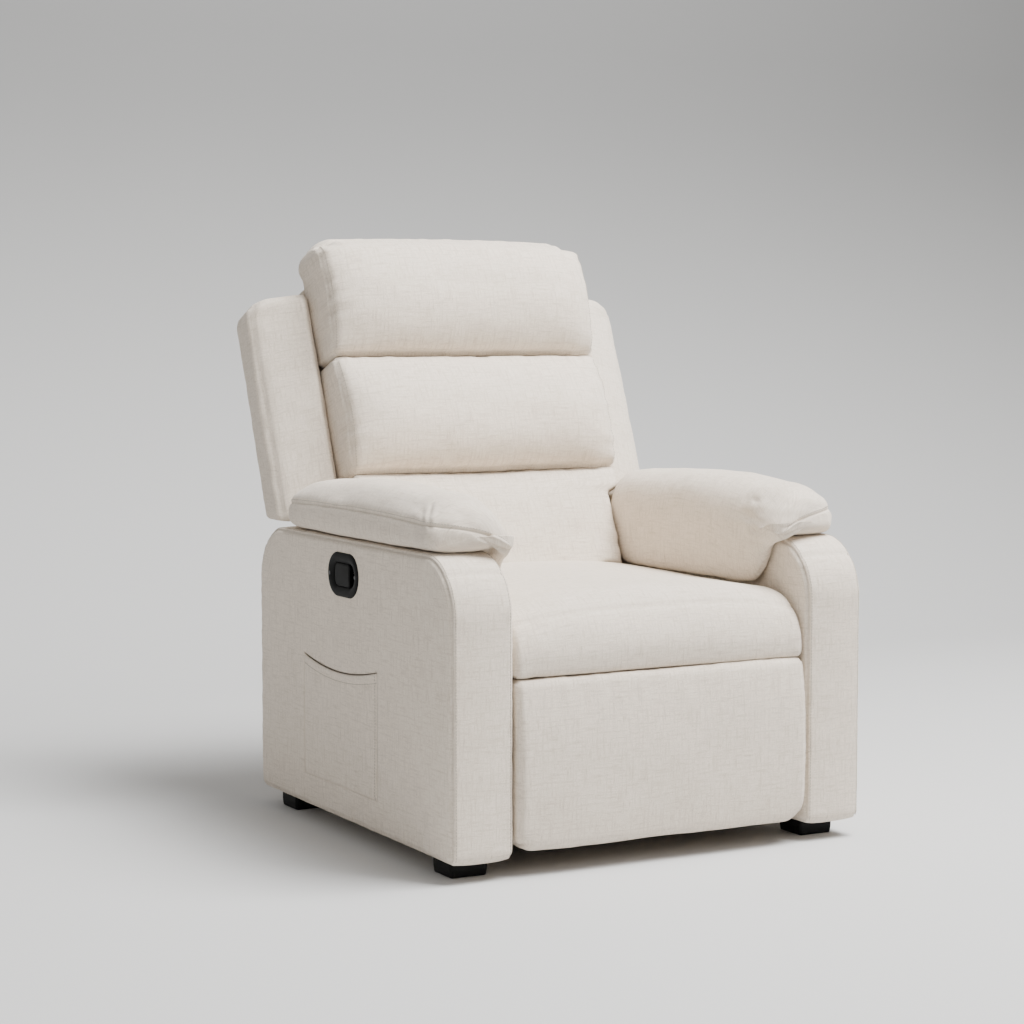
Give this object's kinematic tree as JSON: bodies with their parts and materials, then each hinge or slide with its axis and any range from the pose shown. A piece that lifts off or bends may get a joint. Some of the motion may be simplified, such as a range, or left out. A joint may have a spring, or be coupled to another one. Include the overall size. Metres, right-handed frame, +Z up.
{
  "type": "recliner armchair",
  "caption": "Upholstered recliner armchair with a leaning back, fold-out footrest, padded arms, side pocket and pull lever.",
  "frame": {"origin": "on the floor, under the middle of the chair", "axes": "+Z up, the chair faces -Y, +X is the sitter's left"},
  "size_m": [0.8061, 0.9227, 1.0511],
  "materials": {
    "linen": "linen-look weave",
    "frame_wood": "sawn hardwood and plywood",
    "steel_black": "satin black powder coat",
    "zinc": "zinc plated",
    "black_plastic": "fine grain",
    "dust_cloth": "black non-woven cloth",
    "webbing": "woven strap",
    "spring_steel": "oiled spring wire"
  },
  "bodies": {
    "base": {"arm_frame_right": "frame_wood", "arm_frame_left": "frame_wood", "arm_cover_right": "linen", "arm_cover_left": "linen", "arm_pad_right": "linen", "arm_pad_left": "linen", "pocket_sheet": "linen", "front_rail": "frame_wood", "rear_rail": "frame_wood", "rear_panel": "linen", "rail_bolts": "zinc", "dust_covers": "dust_cloth", "feet": "black_plastic", "foot_bolts": "zinc", "handle_cup": "black_plastic", "cup_screws": "zinc", "lever_pin": "zinc", "lever_spring": "spring_steel", "release_cable": "black_plastic", "pawl_pin": "zinc", "pawl_spring": "spring_steel", "base_plate_right": "steel_black", "base_plate_left": "steel_black", "plate_bolts": "zinc", "base_rivets": "zinc"},
    "lever": {"pull_lever": "black_plastic"},
    "pawl": {"release_pawl": "zinc"},
    "front_swing": {"front_swing_links": "steel_black", "front_torque_tube": "steel_black"},
    "rear_swing": {"rear_swing_links": "steel_black", "rear_torque_tube": "steel_black"},
    "seat": {"side_plate_right": "steel_black", "side_plate_left": "steel_black", "swing_rivets": "zinc", "link_rivets": "zinc", "seat_frame": "frame_wood", "seat_bolts": "zinc", "seat_springs": "spring_steel", "seat_cushion": "linen", "back_pivots": "zinc"},
    "footrest_rear_links": {"footrest_links_a": "steel_black", "footrest_cross_tube": "steel_black", "knee_rivets": "zinc"},
    "footrest_front_links": {"footrest_links_b": "steel_black"},
    "footrest_guide_links": {"footrest_guides": "steel_black"},
    "footrest": {"footrest_brackets": "steel_black", "footrest_board": "frame_wood", "board_screws": "zinc", "footrest_pad": "linen"},
    "back": {"back_frame": "frame_wood", "back_webbing": "webbing", "back_brackets": "steel_black", "outside_back": "linen", "wing_right": "linen", "wing_left": "linen", "head_cushion": "linen", "middle_cushion": "linen", "lower_cushion": "linen"}
  },
  "joints": [
    {"name": "back_recline", "type": "hinge", "parent": "seat", "child": "back", "pos_m": [0, 0.19, 0.3], "axis": [-1, 0, 0], "range_deg": [0, 34]},
    {"name": "front_swing", "type": "hinge", "parent": "base", "child": "front_swing", "pos_m": [0, -0.2, 0.15], "axis": [1, 0, 0], "range_deg": [0, 16.01]},
    {"name": "rear_swing", "type": "hinge", "parent": "base", "child": "rear_swing", "pos_m": [0, 0.1, 0.15], "axis": [1, 0, 0], "range_deg": [0, 16.01]},
    {"name": "seat_level", "type": "hinge", "parent": "front_swing", "child": "seat", "pos_m": [0, -0.18469, 0.25893], "axis": [1, 0, 0], "range_deg": [-16.01, 0]},
    {"name": "footrest_extend", "type": "hinge", "parent": "seat", "child": "footrest_rear_links", "pos_m": [0, -0.3, 0.288], "axis": [-1, 0, 0], "range_deg": [0, 93.2]},
    {"name": "footrest_knee", "type": "hinge", "parent": "footrest_rear_links", "child": "footrest_front_links", "pos_m": [0, -0.30819, 0.1202], "axis": [1, 0, 0], "range_deg": [0, 138.3]},
    {"name": "footrest_tip", "type": "hinge", "parent": "footrest_front_links", "child": "footrest", "pos_m": [0, -0.382, 0.24], "axis": [-1, 0, 0], "range_deg": [0, 135.1]},
    {"name": "footrest_guide", "type": "hinge", "parent": "seat", "child": "footrest_guide_links", "pos_m": [0, -0.262, 0.272], "axis": [-1, 0, 0], "range_deg": [0, 86.8]},
    {"name": "lever_pull", "type": "hinge", "parent": "base", "child": "lever", "pos_m": [-0.391, -0.02, 0.46], "axis": [0, 0, -1], "range_deg": [0, 28], "stiffness_Nm_per_rad": 0.5},
    {"name": "pawl_turn", "type": "hinge", "parent": "base", "child": "pawl", "pos_m": [-0.277, -0.12, 0.14], "axis": [-1, 0, 0], "range_deg": [0, 14.01]}
  ],
  "couplings": [
    {"joint": "front_swing", "follows": "back_recline", "ratio": 0.47059},
    {"joint": "rear_swing", "follows": "back_recline", "ratio": 0.47059},
    {"joint": "seat_level", "follows": "back_recline", "ratio": -0.47059},
    {"joint": "footrest_knee", "follows": "footrest_extend", "ratio": 1.4832},
    {"joint": "footrest_tip", "follows": "footrest_extend", "ratio": 1.4488},
    {"joint": "footrest_guide", "follows": "footrest_extend", "ratio": 0.93015},
    {"joint": "pawl_turn", "follows": "lever_pull", "ratio": 0.5}
  ]
}
